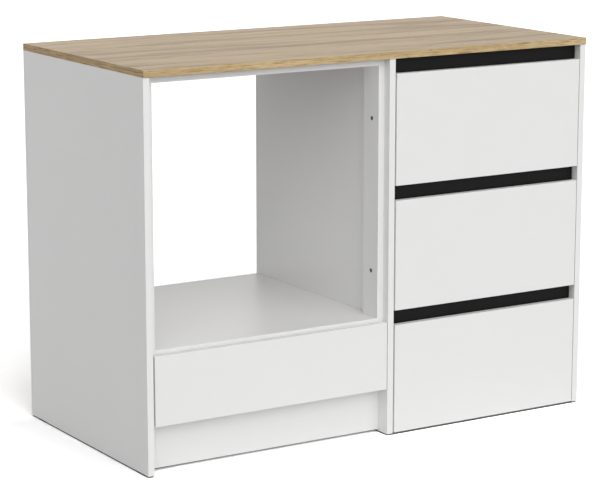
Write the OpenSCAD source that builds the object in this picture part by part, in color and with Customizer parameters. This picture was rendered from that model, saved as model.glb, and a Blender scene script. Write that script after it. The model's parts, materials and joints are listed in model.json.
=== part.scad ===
// Oven cabinet: an open bay for a built-in oven beside a bank of three handleless drawers,
// with one low drawer under the oven shelf and one worktop over both bays.
// The origin is on the floor under the centre of the worktop, +X to the right, +Z up, and
// the fronts face -Y.

/* [Overall size] */
// Width over the side panels
cabinet_w = 1200; // [1000:5:1440]
// Depth of the worktop, front to rear
cabinet_d = 600; // [500:5:720]
// Height of the worktop's top above the floor
cabinet_h = 904; // [750:1:1085]
// Clear width of the oven bay between its uprights
oven_bay_w = 618; // [515:1:742]
// Height of the oven shelf's top above the floor
shelf_top = 281; // [234:1:338]

/* [Boards] */
// Thickness of the uprights, shelves, rails, fillers and plinth
board_t = 16; // [13:0.1:20]
// Thickness of the worktop
worktop_t = 16; // [13:0.5:38]
// How far the worktop stands proud of the uprights at the front
worktop_overhang = 2; // [0:0.5:20]
// Thickness of the back panels
back_t = 3; // [2.5:0.1:4]
// Distance from the rear plane to the back panels
back_inset = 12; // [8:0.5:20]
// Depth of the back panels' grooves
groove_depth = 6; // [3:0.5:6]
// Width of a filler strip, front to rear
filler_w = 62; // [50:1:100]
// Width of the flat front rail, front to rear
front_rail_w = 80; // [70:1:120]
// Height of the rear rails, which stand on edge
rear_rail_h = 70; // [58:1:100]

/* [Fronts] */
// Thickness of the drawer fronts
front_t = 16; // [13:0.1:20]
// Gap between a front and the upright on its left
front_left_gap = 4; // [2:0.1:5]
// Gap between a front and the upright on its right
front_right_gap = 2; // [1.5:0.1:5]
// Height of the grip gap above each front of the bank
grip_gap = 35; // [29:0.5:42]
// Gap between the lowest front and the floor
floor_gap = 4.5; // [3.5:0.1:10]
// Gap between the back of a front and the boards behind it
front_back_gap = 5; // [3:0.5:8]
// How far a grip rail reaches below the top edge of the front before it
rail_lap_low = 4; // [3:0.5:6]
// How far a grip rail reaches above the bottom edge of the front over it
rail_lap_high = 8; // [3:0.5:12]
// Height of the low front's bottom edge above the floor
low_front_z = 113; // [95:1:136]
// How far the low front's top edge lies below the oven shelf's top
low_front_drop = 8; // [4:0.5:12]

/* [Plinth and base] */
// Setback of the plinth from the fronts
plinth_setback = 38; // [30:1:60]
// Gap between the plinth and the floor
plinth_gap = 7; // [4:0.5:12]
// How far the low compartment's base lies above the low front's bottom edge
base_cover = 1; // [0:0.5:4]
// Height of the bank's base board above the floor
bank_base_z = 14; // [8:0.5:18]
// Height of the glides under the uprights
glide_h = 3; // [2:0.5:8]
// Length of a glide
glide_l = 50; // [42:1:60]
// Width of a glide
glide_w = 15; // [10:0.5:16]
// Distance of the front glides from the upright's front edge
glide_front_inset = 12; // [4:1:20]
// Distance of the rear glides from the upright's rear edge
glide_rear_inset = 33; // [4:1:40]

/* [Drawer boxes] */
// Thickness of the drawers' sides and backs
drawer_side_t = 16; // [13:0.1:20]
// Thickness of the drawers' bottoms
drawer_bottom_t = 3; // [2.5:0.1:4]
// Height of a drawer's bottom panel above the lower edge of its sides
drawer_bottom_rise = 10; // [8:0.5:14]
// Gap between a base board and the drawer sides over it
box_base_gap = 8.5; // [4:0.5:14]
// Gap between the sides of a drawer and the board above them
box_head_gap = 12; // [8:0.5:20]

/* [Runners] */
// Gap between a drawer's side and the upright, which the runner fills
runner_gap = 12.5; // [12.3:0.1:15]
// Thickness of the runners' sheet steel
runner_sheet = 1.2; // [1:0.1:1.4]
// Radius of the rollers
roller_r = 7; // [6:0.5:8.5]
// Runners come in lengths of a whole number of these steps
runner_step = 50; // [25:25:100]
// Least space kept behind a runner
runner_rear_space = 40; // [20:5:60]
// Length of a drawer that stays in the cabinet when it is open
runner_overlap = 100; // [80:5:150]

/* [Fittings] */
// Radius of a cam lock
cam_r = 7.4; // [6:0.1:7.4]
// Height of a cam lock
cam_h = 12.2; // [10:0.1:12.4]
// Distance of a cam's centre from the joint that it pulls together
cam_reach = 24; // [20:0.5:34]
// Radius of a cam bolt
bolt_r = 3; // [2.5:0.1:3.5]
// Depth of a cam bolt in the board that it is screwed into
bolt_in = 11; // [8:0.5:11.5]
// Radius of a dowel
dowel_r = 4; // [3:0.1:4]
// Depth of a dowel in the upright
dowel_in = 10; // [8:0.5:11.5]
// Length of a dowel
dowel_l = 30; // [25:1:40]
// Radius of an assembly screw's shank
screw_r = 2; // [1.5:0.1:2.2]
// Depth of an assembly screw in the second board
screw_bite = 11; // [8:0.5:11.5]
// Radius of the holes for fixing the rear rail to a wall
wall_hole_r = 3; // [2.5:0.1:4]
// Distance between the wall fixing holes
wall_hole_spacing = 448; // [320:32:480]

/* [Hidden] */
$fn = 48;
// Clearance round a fitting in its bore, and between a turning part and its pin
fit = 0.08;
// Clearance of a panel in its groove
groove_fit = 0.1;
// Clearance between parts that pass each other or stop against each other
run_fit = 0.3;
// How far a cutting shape reaches past the face that it opens
over = 0.5;

// Planes of the cabinet
y_front = -cabinet_d / 2 + worktop_overhang;
y_rear = cabinet_d / 2;
y_inner = y_front + front_t + front_back_gap;
y_back = y_rear - back_inset - back_t;
y_plinth = y_front + plinth_setback;
z_under_top = cabinet_h - worktop_t;
x_left = -cabinet_w / 2;
x_right = cabinet_w / 2;
OVEN_BAY = [x_left + board_t, x_left + board_t + oven_bay_w];
BANK_BAY = [OVEN_BAY[1] + board_t, x_right - board_t];
shelf_under = shelf_top - board_t;
low_base_z = low_front_z + base_cover;
low_base_top = low_base_z + board_t;
bank_base_top = bank_base_z + board_t;
rear_rail_z = z_under_top - rear_rail_h;

// Levels of the bank, and heights of the fronts and of the grip rails behind their gaps
BOTTOM = 0;
MIDDLE = 1;
TOP = 2;
LEVELS = [BOTTOM, MIDDLE, TOP];
front_h = (z_under_top - floor_gap) / len(LEVELS) - grip_gap;
front_pitch = front_h + grip_gap;
low_front_h = shelf_top - low_front_drop - low_front_z;
grip_rail_h = grip_gap + rail_lap_low + rail_lap_high;
function bank_front_z(level) = floor_gap + level * front_pitch;
function grip_rail_z(level) =
    level == TOP ? z_under_top - grip_rail_h : bank_front_z(level) + front_h - rail_lap_low;

// Each drawer: its bay, its front's bottom edge and height, its sides' lower edge and height
box_rise = bank_base_top + box_base_gap - floor_gap;
box_drop = grip_rail_h - grip_gap + box_head_gap;
function bank_drawer(level) = [
    BANK_BAY, bank_front_z(level), front_h,
    bank_front_z(level) + box_rise, front_h - box_rise - box_drop
];
OVEN_DRAWER = [
    OVEN_BAY, low_front_z, low_front_h,
    low_base_top + box_base_gap, shelf_under - box_head_gap - low_base_top - box_base_gap
];
BOTTOM_DRAWER = bank_drawer(BOTTOM);
MIDDLE_DRAWER = bank_drawer(MIDDLE);
TOP_DRAWER = bank_drawer(TOP);
BANK_DRAWERS = [BOTTOM_DRAWER, MIDDLE_DRAWER, TOP_DRAWER];
function bay_of(d) = d[0];
function front_z(d) = d[1];
function front_height(d) = d[2];
function box_z(d) = d[3];
function box_height(d) = d[4];
function box_left(d) = bay_of(d)[0] + runner_gap;
function box_right(d) = bay_of(d)[1] - runner_gap;

// Runners: lengths along Y, and heights above the lower edge of the drawer's side
y_box = y_front + front_t;
runner_l = runner_step * floor((y_back - y_box - runner_rear_space) / runner_step);
y_box_end = y_box + runner_l;
travel = runner_l - runner_overlap;
channel_front_gap = 4;
y_channel = y_box + channel_front_gap;
y_channel_end = y_box_end + run_fit + runner_sheet;
roller_inset = 12;
channel_z = 0.8;
roller_z = channel_z + runner_sheet + run_fit + roller_r;
flange_z = roller_z + roller_r + run_fit;
channel_top_gap = 0.8;
channel_h = flange_z + 2 * runner_sheet + channel_top_gap - channel_z;
// Distances from the drawer's side towards the upright
channel_lip_at = 2;
roller_w = 6.2;
box_roller_at = 2;
guide_roller_gap = 0.7;
guide_roller_at = runner_gap - runner_sheet - guide_roller_gap - roller_w;
flange_reach = 9.5;
under_flange_w = 9;
axle_r = 2;
axle_head_r = 3.2;
axle_head_t = 0.8;
stop_h = 3;
stop_l = 6;

// Runner screws, and where they stand along the runner: clear of the joints in the uprights
runner_screw_in = 45;
runner_screw_r = 2.4;
runner_screw_bite = 10;
runner_screw_head_r = 3.6;
runner_screw_head_t = 1.3;
runner_screw_step = (runner_l - 2 * runner_screw_in) / 2;
runner_screw_ys = [for (i = [0:2]) y_channel + runner_screw_in + i * runner_screw_step];
box_screw_r = 1.6;
box_screw_wall = 1.5;
box_screw_bite = drawer_side_t - groove_depth - box_screw_wall;
box_screw_head_r = 3;
box_screw_front = 60;
box_screw_step = (runner_l - 2 * box_screw_front) / 2;
box_screw_ys = [for (i = [0:2]) y_box + box_screw_front + i * box_screw_step];

// Screws that join a drawer's sides to its back
back_screw_r = 2.4;
back_screw_l = 40;
back_screw_head_r = 3.6;
back_screw_head_t = 3;
y_box_back = y_box_end - drawer_side_t;
box_joint_low = 30;
box_joint_high = 20;

// Sides that a cam is fitted from
DOWN = 0;
FRONT = 1;
REAR = 2;
cam_bore_r = cam_r + fit;
cam_bore_h = cam_h + run_fit;

// Distances of the joints' bolts and dowels from the edges of their boards
flat_bolt_in = 60;
flat_dowel_in = 92;
front_rail_bolt_in = 52;
front_rail_dowel_in = 20;
rear_rail_bolt_up = 22;
rear_rail_dowel_up = 48;
plinth_bolt_up = 35;
plinth_dowel_up = 67;
grip_bolt_up = 13;
grip_dowel_up = 31;

// Joints of the boards' ends with the uprights: [y, z, side that the cam is fitted from]
function flat_bolts(z) =
    [for (y = [y_inner + flat_bolt_in, y_rear - flat_bolt_in]) [y, z + board_t / 2, DOWN]];
function flat_dowels(z) =
    [for (y = [y_inner + flat_dowel_in, y_rear - flat_dowel_in]) [y, z + board_t / 2]];
SHELF_BOLTS = flat_bolts(shelf_under);
SHELF_DOWELS = flat_dowels(shelf_under);
LOW_BASE_BOLTS = flat_bolts(low_base_z);
LOW_BASE_DOWELS = flat_dowels(low_base_z);
BANK_BASE_BOLTS = flat_bolts(bank_base_z);
BANK_BASE_DOWELS = flat_dowels(bank_base_z);
FRONT_RAIL_BOLTS = [[y_inner + front_rail_bolt_in, z_under_top - board_t / 2, DOWN]];
FRONT_RAIL_DOWELS = [[y_inner + front_rail_dowel_in, z_under_top - board_t / 2]];
REAR_RAIL_BOLTS = [[y_rear - board_t / 2, rear_rail_z + rear_rail_bolt_up, FRONT]];
REAR_RAIL_DOWELS = [[y_rear - board_t / 2, rear_rail_z + rear_rail_dowel_up]];
BANK_RAIL_BOLTS = [[y_back - board_t / 2, rear_rail_z + rear_rail_bolt_up, FRONT]];
BANK_RAIL_DOWELS = [[y_back - board_t / 2, rear_rail_z + rear_rail_dowel_up]];
PLINTH_BOLTS = [[y_plinth + board_t / 2, plinth_gap + plinth_bolt_up, REAR]];
PLINTH_DOWELS = [[y_plinth + board_t / 2, plinth_gap + plinth_dowel_up]];
function grip_bolts(level) = [[y_inner + board_t / 2, grip_rail_z(level) + grip_bolt_up, REAR]];
function grip_dowels(level) = [[y_inner + board_t / 2, grip_rail_z(level) + grip_dowel_up]];
OVEN_BOLTS = concat(SHELF_BOLTS, LOW_BASE_BOLTS, FRONT_RAIL_BOLTS, REAR_RAIL_BOLTS, PLINTH_BOLTS);
OVEN_DOWELS = concat(SHELF_DOWELS, LOW_BASE_DOWELS, FRONT_RAIL_DOWELS, REAR_RAIL_DOWELS, PLINTH_DOWELS);
BANK_BOLTS = concat(BANK_BASE_BOLTS, BANK_RAIL_BOLTS, [for (level = LEVELS) grip_bolts(level)[0]]);
BANK_DOWELS = concat(
    BANK_BASE_DOWELS, BANK_RAIL_DOWELS, [for (level = LEVELS) grip_dowels(level)[0]]
);

// Joints of the uprights' top edges with the worktop
top_bolt_front_in = 148;
top_bolt_rear_in = 100;
top_bolt_ys = [y_front + top_bolt_front_in, y_rear - top_bolt_rear_in];

// Screws of the fillers and of the front rail: their heads lie in a counterbore
screw_head_r = 4.2;
screw_head_t = 3;
screw_sink = 4;
screw_sink_r = 5;
screw_slot_l = 5;
screw_slot_w = 1;
filler_screw_in = 28;
filler_screw_up = 109;
filler_screw_down = 124;
rail_screw_in = 52;
filler_screw_y = y_inner + filler_screw_in;
filler_screw_zs = [shelf_top + filler_screw_up, z_under_top - board_t - filler_screw_down];
rail_screw_y = y_inner + rail_screw_in;
rail_screw_xs = [for (k = [1, 3]) OVEN_BAY[0] + k * oven_bay_w / 4];
wall_hole_xs = [for (s = [-1, 1]) (OVEN_BAY[0] + OVEN_BAY[1]) / 2 + s * wall_hole_spacing / 2];
wall_hole_z = rear_rail_z + rear_rail_h / 2;

// Glides: a slab with round ends and a pin that is driven into the upright
glide_pin_r = 1.5;
glide_pin_l = 12;
upright_xs = [x_left, OVEN_BAY[1], BANK_BAY[1]];
glide_ys = [y_front + glide_front_inset + glide_l / 2, y_rear - glide_rear_inset - glide_l / 2];

white = [0.93, 0.93, 0.92];
steel = [0.72, 0.73, 0.74];
black = [0.14, 0.14, 0.14];
oak = [0.76, 0.66, 0.5];

DRAWER_PIECES = ["front", "left_side", "right_side", "back", "bottom", "runners", "rollers", "fittings"];
DRAWER_NAMES = ["top_drawer", "middle_drawer", "bottom_drawer", "oven_drawer"];

// A box between two corners
module block(low, high) {
    translate(low) cube(high - low);
}

// A round bar along X, Y or Z between two places on that axis
module bar_x(x0, x1, r) {
    translate([x0, 0, 0]) rotate([0, 90, 0]) cylinder(r = r, h = x1 - x0);
}
module bar_y(y0, y1, r) {
    translate([0, y0, 0]) rotate([-90, 0, 0]) cylinder(r = r, h = y1 - y0);
}
module bar_z(z0, z1, r) {
    translate([0, 0, z0]) cylinder(r = r, h = z1 - z0);
}

// What is drawn for a face at x = 0 that looks to +X, on a face at x that looks to +X or to -X
module on_face(x, looks) {
    translate([x, 0, 0])
        if (looks > 0) children();
        else mirror([1, 0, 0]) children();
}

// The same on both uprights of a bay: their faces look to each other
module on_both_uprights(bay) {
    on_face(bay[0], 1) children();
    on_face(bay[1], -1) children();
}

// The round body or bore of a cam in a board of thickness t, round the joint's axis
module cam_shape(side, t, r, depth, past) {
    if (side == DOWN) bar_z(-t / 2 - past, -t / 2 + depth, r);
    if (side == FRONT) bar_y(-t / 2 - past, -t / 2 + depth, r);
    if (side == REAR) bar_y(t / 2 - depth, t / 2 + past, r);
}

// Bores in a board's end at x = 0, with the board on the +X side
module end_bores(bolts, dowels) {
    for (b = bolts)
        translate([0, b[0], b[1]]) {
            bar_x(-over, cam_reach, bolt_r + fit);
            translate([cam_reach, 0, 0]) cam_shape(b[2], board_t, cam_bore_r, cam_bore_h, over);
        }
    for (d = dowels)
        translate([0, d[0], d[1]]) bar_x(-over, dowel_l - dowel_in + run_fit, dowel_r + fit);
}

// Bores in an upright for the same joints, with the upright on the -X side
module upright_bores(bolts, dowels) {
    for (b = bolts) translate([0, b[0], b[1]]) bar_x(-bolt_in - run_fit, over, bolt_r + fit);
    for (d = dowels) translate([0, d[0], d[1]]) bar_x(-dowel_in - run_fit, over, dowel_r + fit);
}

// A board across a bay, jointed to the uprights at both ends
module bay_board(bay, y0, y1, z0, z1, bolts, dowels) {
    difference() {
        block([bay[0], y0, z0], [bay[1], y1, z1]);
        on_both_uprights(bay) end_bores(bolts, dowels);
    }
}

// The cam and the bolt of one joint, with the board on the +X side of x = 0
module cam_and_bolt(side, t) {
    bar_x(-bolt_in, cam_reach - cam_r - fit, bolt_r);
    translate([cam_reach, 0, 0]) cam_shape(side, t, cam_r, cam_h, 0);
}

// A screw whose head lies in a counterbore, driven along +Z from a board's face at z = 0
module sunk_screw() {
    difference() {
        union() {
            bar_z(screw_sink - screw_head_t, screw_sink, screw_head_r);
            bar_z(screw_sink - fit, board_t + screw_bite, screw_r);
        }
        for (turn = [0, 90])
            rotate([0, 0, turn])
                translate([-screw_slot_l / 2, -screw_slot_w / 2, 0])
                    cube([screw_slot_l, screw_slot_w, screw_sink - screw_head_t / 2]);
    }
}
module sunk_screw_bore() {
    bar_z(-over, screw_sink, screw_sink_r);
    bar_z(0, board_t + over, screw_r + fit);
}

// Where the fillers' screws go: the filler's face looks into the bay, the screw leaves it
module at_filler_screws() {
    for (z = filler_screw_zs)
        translate([board_t, filler_screw_y, z]) rotate([0, -90, 0]) children();
}

// Places of one drawer's screws on the upright and on the drawer's side
module at_runner_screws(d) {
    for (y = runner_screw_ys) translate([0, y, box_z(d) + roller_z]) children();
}
module runner_screw_bores(d) {
    at_runner_screws(d) bar_x(-runner_screw_bite - run_fit, over, runner_screw_r + fit);
}

// Groove for a back panel in an upright on the -X side of x = 0
module back_groove(z0, z1) {
    block([-groove_depth, y_back - groove_fit, z0], [over, y_back + back_t + groove_fit, z1]);
}

// A full height upright from its left face at x, before its own bores
module upright_board(x) {
    difference() {
        block([x, y_front, glide_h], [x + board_t, y_rear, z_under_top]);
        for (y = glide_ys)
            translate([x + board_t / 2, y, 0])
                bar_z(0, glide_h + glide_pin_l + run_fit, glide_pin_r + fit);
        for (y = top_bolt_ys)
            translate([x + board_t / 2, y, 0])
                bar_z(z_under_top - cam_reach, z_under_top + over, bolt_r + fit);
    }
}

// Bores for the cams that hold the worktop, in an upright on the -X side of x = 0
module top_cam_bores() {
    for (y = top_bolt_ys)
        translate([0, y, z_under_top - cam_reach]) bar_x(-cam_bore_h, over, cam_bore_r);
}

module left_upright() {
    color(white) difference() {
        upright_board(x_left);
        on_face(OVEN_BAY[0], 1) {
            upright_bores(OVEN_BOLTS, OVEN_DOWELS);
            top_cam_bores();
            back_groove(low_base_top, shelf_under);
            runner_screw_bores(OVEN_DRAWER);
            for (z = filler_screw_zs)
                translate([0, filler_screw_y, z]) bar_x(-screw_bite - run_fit, over, screw_r + fit);
        }
    }
}

module middle_upright() {
    color(white) difference() {
        upright_board(OVEN_BAY[1]);
        on_face(OVEN_BAY[1], -1) {
            upright_bores(OVEN_BOLTS, OVEN_DOWELS);
            back_groove(low_base_top, shelf_under);
            runner_screw_bores(OVEN_DRAWER);
            for (z = filler_screw_zs)
                translate([0, filler_screw_y, z]) bar_x(-screw_bite - run_fit, over, screw_r + fit);
        }
        on_face(BANK_BAY[0], 1) {
            upright_bores(BANK_BOLTS, BANK_DOWELS);
            top_cam_bores();
            back_groove(bank_base_z, z_under_top + over);
            for (d = BANK_DRAWERS) runner_screw_bores(d);
        }
    }
}

module right_upright() {
    color(white) difference() {
        upright_board(BANK_BAY[1]);
        on_face(BANK_BAY[1], -1) {
            upright_bores(BANK_BOLTS, BANK_DOWELS);
            top_cam_bores();
            back_groove(bank_base_z, z_under_top + over);
            for (d = BANK_DRAWERS) runner_screw_bores(d);
        }
    }
}

module worktop() {
    color(oak) difference() {
        block([x_left, -cabinet_d / 2, z_under_top], [x_right, y_rear, cabinet_h]);
        for (x = upright_xs)
            for (y = top_bolt_ys)
                translate([x + board_t / 2, y, z_under_top]) bar_z(-over, bolt_in + run_fit, bolt_r + fit);
        for (x = rail_screw_xs)
            translate([x, rail_screw_y, z_under_top]) bar_z(-over, screw_bite + run_fit, screw_r + fit);
    }
}

module oven_shelf() {
    color(white)
        bay_board(OVEN_BAY, y_inner, y_rear, shelf_under, shelf_top, SHELF_BOLTS, SHELF_DOWELS);
}

module low_base() {
    color(white)
        bay_board(
            OVEN_BAY, y_inner, y_rear, low_base_z, low_base_top,
            LOW_BASE_BOLTS, LOW_BASE_DOWELS
        );
}

module bank_base() {
    color(white)
        bay_board(
            BANK_BAY, y_inner, y_back, bank_base_z, bank_base_top,
            BANK_BASE_BOLTS, BANK_BASE_DOWELS
        );
}

module plinth() {
    color(white)
        bay_board(
            OVEN_BAY, y_plinth, y_plinth + board_t, plinth_gap, low_base_z,
            PLINTH_BOLTS, PLINTH_DOWELS
        );
}

module front_rail() {
    color(white) difference() {
        bay_board(
            OVEN_BAY, y_inner, y_inner + front_rail_w, z_under_top - board_t, z_under_top,
            FRONT_RAIL_BOLTS, FRONT_RAIL_DOWELS
        );
        for (x = rail_screw_xs)
            translate([x, rail_screw_y, z_under_top - board_t]) sunk_screw_bore();
    }
}

// The wall fixing holes go through the rear rail
module rear_rail() {
    color(white) difference() {
        bay_board(
            OVEN_BAY, y_rear - board_t, y_rear, rear_rail_z, z_under_top,
            REAR_RAIL_BOLTS, REAR_RAIL_DOWELS
        );
        for (x = wall_hole_xs)
            translate([x, 0, wall_hole_z]) bar_y(y_rear - board_t - over, y_rear + over, wall_hole_r);
    }
}

module bank_rear_rail() {
    color(white)
        bay_board(
            BANK_BAY, y_back - board_t, y_back, rear_rail_z, z_under_top,
            BANK_RAIL_BOLTS, BANK_RAIL_DOWELS
        );
}

// A filler strip against the upright at x = 0, on its +X side
module filler_strip() {
    difference() {
        block([0, y_inner, shelf_top], [board_t, y_inner + filler_w, z_under_top - board_t]);
        at_filler_screws() sunk_screw_bore();
    }
}

module left_filler() {
    color(white) on_face(OVEN_BAY[0], 1) filler_strip();
}

module right_filler() {
    color(white) on_face(OVEN_BAY[1], -1) filler_strip();
}

module grip_rail(level) {
    color(black)
        bay_board(
            BANK_BAY, y_inner, y_inner + board_t, grip_rail_z(level), grip_rail_z(level) + grip_rail_h,
            grip_bolts(level), grip_dowels(level)
        );
}

// A back panel between the bottoms of its two grooves
module back_panel(bay, z0, z1) {
    color(white)
        block(
            [bay[0] - groove_depth + groove_fit, y_back, z0],
            [bay[1] + groove_depth - groove_fit, y_back + back_t, z1]
        );
}

module glides() {
    color(black)
        for (x = upright_xs)
            for (y = glide_ys)
                translate([x + board_t / 2, y, 0]) {
                    block(
                        [-glide_w / 2, -(glide_l - glide_w) / 2, 0],
                        [glide_w / 2, (glide_l - glide_w) / 2, glide_h]
                    );
                    for (s = [-1, 1])
                        translate([0, s * (glide_l - glide_w) / 2, 0]) bar_z(0, glide_h, glide_w / 2);
                    bar_z(0, glide_h + glide_pin_l, glide_pin_r);
                }
}

module cam_fittings() {
    color(steel) {
        on_both_uprights(OVEN_BAY)
            for (b = OVEN_BOLTS) translate([0, b[0], b[1]]) cam_and_bolt(b[2], board_t);
        on_both_uprights(BANK_BAY)
            for (b = BANK_BOLTS) translate([0, b[0], b[1]]) cam_and_bolt(b[2], board_t);
        for (y = top_bolt_ys) {
            for (x = upright_xs)
                translate([x + board_t / 2, y, 0])
                    bar_z(z_under_top - cam_reach + cam_r + fit, z_under_top + bolt_in, bolt_r);
            translate([0, y, z_under_top - cam_reach]) {
                for (x = [OVEN_BAY[0], BANK_BAY[0]]) on_face(x, 1) bar_x(-cam_h, 0, cam_r);
                on_face(BANK_BAY[1], -1) bar_x(-cam_h, 0, cam_r);
            }
        }
    }
}

module dowels() {
    color(oak) {
        on_both_uprights(OVEN_BAY)
            for (d = OVEN_DOWELS) translate([0, d[0], d[1]]) bar_x(-dowel_in, dowel_l - dowel_in, dowel_r);
        on_both_uprights(BANK_BAY)
            for (d = BANK_DOWELS) translate([0, d[0], d[1]]) bar_x(-dowel_in, dowel_l - dowel_in, dowel_r);
    }
}

module assembly_screws() {
    color(steel) {
        on_both_uprights(OVEN_BAY) at_filler_screws() sunk_screw();
        for (x = rail_screw_xs) translate([x, rail_screw_y, z_under_top - board_t]) sunk_screw();
    }
}

// The channel on an upright at x = 0: web, two lips, a rear stop, a front stop and an axle
module channel(d) {
    lip_x = runner_gap - channel_lip_at;
    z0 = box_z(d) + channel_z;
    z_roller = box_z(d) + roller_z;
    y_stop = y_box_end - roller_inset - travel - roller_r - run_fit;
    difference() {
        union() {
            block([0, y_channel, z0], [runner_sheet, y_channel_end, z0 + channel_h]);
            block([0, y_channel, z0], [lip_x, y_channel_end, z0 + runner_sheet]);
            block(
                [0, y_channel, z0 + channel_h - runner_sheet],
                [lip_x, y_channel_end, z0 + channel_h]
            );
            block([0, y_channel_end - runner_sheet, z0], [lip_x, y_channel_end, z0 + channel_h]);
            block(
                [runner_gap - box_roller_at - roller_w, y_stop - stop_l, z0],
                [lip_x, y_stop, z0 + runner_sheet + stop_h]
            );
        }
        at_runner_screws(d) bar_x(-over, runner_sheet + over, runner_screw_r + fit);
    }
    translate([0, y_channel + roller_inset, z_roller]) {
        bar_x(0, runner_gap - guide_roller_at + run_fit, axle_r);
        bar_x(
            runner_gap - guide_roller_at + run_fit,
            runner_gap - guide_roller_at + run_fit + axle_head_t, axle_head_r
        );
    }
}

module cabinet_runners() {
    color(white) {
        on_both_uprights(OVEN_BAY) channel(OVEN_DRAWER);
        on_both_uprights(BANK_BAY) for (d = BANK_DRAWERS) channel(d);
    }
}

module runner_screw() {
    bar_x(-runner_screw_bite, runner_sheet + fit, runner_screw_r);
    bar_x(runner_sheet, runner_sheet + runner_screw_head_t, runner_screw_head_r);
}

module runner_screws() {
    color(steel) {
        on_both_uprights(OVEN_BAY) at_runner_screws(OVEN_DRAWER) runner_screw();
        on_both_uprights(BANK_BAY) for (d = BANK_DRAWERS) at_runner_screws(d) runner_screw();
    }
}

// A roller on an axle along X, from x = 0 to its width
module roller() {
    difference() {
        bar_x(0, roller_w, roller_r);
        bar_x(-over, roller_w + over, axle_r + fit);
    }
}

// The rollers that turn on the cabinet's channels
module guide_rollers(d) {
    color(white)
        on_both_uprights(bay_of(d))
            translate([
                runner_gap - guide_roller_at - roller_w, y_channel + roller_inset, box_z(d) + roller_z
            ]) roller();
}

module drawer_front(d) {
    color(white) difference() {
        block(
            [bay_of(d)[0] + front_left_gap, y_front, front_z(d)],
            [bay_of(d)[1] - front_right_gap, y_box, front_z(d) + front_height(d)]
        );
        on_box_sides(d)
            at_front_joints(d) rotate([0, 0, 90]) bar_x(-bolt_in - run_fit, over, bolt_r + fit);
        block(
            [box_left(d) + drawer_side_t - groove_depth, y_box - groove_depth, bottom_z(d) - groove_fit],
            [
                box_right(d) - drawer_side_t + groove_depth, y_box + over,
                bottom_z(d) + drawer_bottom_t + groove_fit
            ]
        );
    }
}

// Both sides of a drawer: what is drawn with the side's outer face at x = 0, board to +X
module on_box_sides(d) {
    on_face(box_left(d), 1) children();
    on_face(box_right(d), -1) children();
}
function bottom_z(d) = box_z(d) + drawer_bottom_rise;

// Places of the joints of a side with the front, and with the back
module at_front_joints(d) {
    for (z = [box_joint_low, box_height(d) - box_joint_high])
        translate([drawer_side_t / 2, y_box, box_z(d) + z]) children();
}
module at_back_joints(d) {
    for (z = [box_joint_low, box_height(d) - box_joint_high])
        translate([0, y_box_back + drawer_side_t / 2, box_z(d) + z]) children();
}
module at_box_screws(d) {
    for (y = box_screw_ys) translate([0, y, box_z(d) + roller_z]) children();
}

// A drawer's side with its outer face at x = 0
module drawer_side(d) {
    difference() {
        block([0, y_box, box_z(d)], [drawer_side_t, y_box_end, box_z(d) + box_height(d)]);
        block(
            [drawer_side_t - groove_depth, y_box - over, bottom_z(d) - groove_fit],
            [drawer_side_t + over, y_box_end + over, bottom_z(d) + drawer_bottom_t + groove_fit]
        );
        at_front_joints(d) {
            rotate([0, 0, 90]) bar_x(-over, cam_reach, bolt_r + fit);
            translate([drawer_side_t / 2 - cam_bore_h, cam_reach, 0])
                bar_x(0, cam_bore_h + over, cam_bore_r);
        }
        at_back_joints(d) {
            bar_x(-over, drawer_side_t + over, back_screw_r + fit);
            bar_x(-over, back_screw_head_t, back_screw_head_r + fit);
        }
        at_box_screws(d) bar_x(-over, box_screw_bite + run_fit, box_screw_r + fit);
    }
}

module drawer_left_side(d) {
    color(white) on_face(box_left(d), 1) drawer_side(d);
}

module drawer_right_side(d) {
    color(white) on_face(box_right(d), -1) drawer_side(d);
}

// The back stands on the bottom panel, between the sides
module drawer_back(d) {
    color(white) difference() {
        block(
            [box_left(d) + drawer_side_t, y_box_back, bottom_z(d) + drawer_bottom_t],
            [box_right(d) - drawer_side_t, y_box_end, box_z(d) + box_height(d)]
        );
        on_box_sides(d) at_back_joints(d) bar_x(0, back_screw_l + run_fit, back_screw_r + fit);
    }
}

module drawer_bottom(d) {
    color(white)
        block(
            [
                box_left(d) + drawer_side_t - groove_depth + groove_fit, y_box - groove_depth + groove_fit,
                bottom_z(d)
            ],
            [
                box_right(d) - drawer_side_t + groove_depth - groove_fit, y_box_end,
                bottom_z(d) + drawer_bottom_t
            ]
        );
}

// The drawer's half of a runner, with the side's outer face at x = 0 and the upright on -X
module drawer_member(d) {
    z0 = box_z(d);
    difference() {
        union() {
            block([-runner_sheet, y_box, z0 - runner_sheet], [0, y_box_end, z0 + flange_z + runner_sheet]);
            block([-runner_sheet, y_box, z0 - runner_sheet], [under_flange_w, y_box_end, z0]);
            block([-flange_reach, y_box, z0 + flange_z], [0, y_box_end, z0 + flange_z + runner_sheet]);
        }
        at_box_screws(d) bar_x(-runner_sheet - over, over, box_screw_r + fit);
    }
    axle_end = box_roller_at + roller_w + run_fit;
    translate([0, y_box_end - roller_inset, z0 + roller_z]) {
        bar_x(-axle_end, 0, axle_r);
        bar_x(-axle_end - axle_head_t, -axle_end, axle_head_r);
    }
}

module drawer_runners(d) {
    color(white) on_box_sides(d) drawer_member(d);
}

// The rollers that turn at the rear ends of the drawer's runners
module drawer_rollers(d) {
    color(white)
        on_box_sides(d)
            translate([-box_roller_at - roller_w, y_box_end - roller_inset, box_z(d) + roller_z]) roller();
}

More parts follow.
